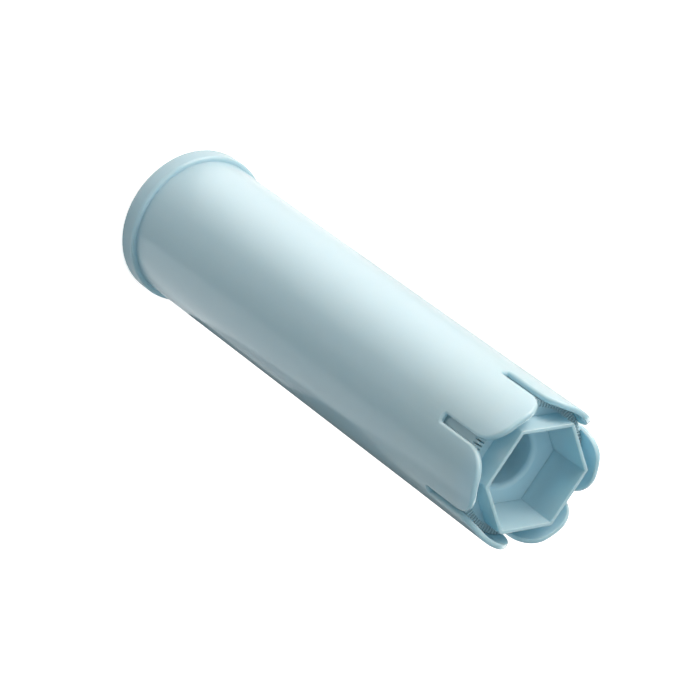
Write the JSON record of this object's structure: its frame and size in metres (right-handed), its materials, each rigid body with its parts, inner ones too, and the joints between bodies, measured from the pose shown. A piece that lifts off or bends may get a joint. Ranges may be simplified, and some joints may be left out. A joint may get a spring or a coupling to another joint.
{
  "type": "coffee machine water filter",
  "caption": "Tubular water filter cartridge with a flange, slotted petals and a hexagonal outlet socket, filled with granulate, for a coffee machine's tank.",
  "frame": {"origin": "centre of the flange's end face, which the cartridge stands on", "axes": "+Z along the cartridge's axis, from the flange to the petal tips; +X towards the middle of a petal and a corner of the hexagonal socket"},
  "size_m": [0.035, 0.035, 0.1274],
  "materials": {
    "blue_plastic": "satin moulded polypropylene, pale blue, unpainted",
    "natural_plastic": "extruded natural polypropylene",
    "fleece": "white needled felt",
    "granulate": "moist resin beads mixed with dark carbon grains"
  },
  "bodies": {
    "root": {"housing": "blue_plastic", "outlet_insert": "blue_plastic", "riser_tube": "natural_plastic", "head_fleece": "fleece", "inlet_fleece": "fleece", "filter_bed": "granulate"}
  },
  "joints": []
}
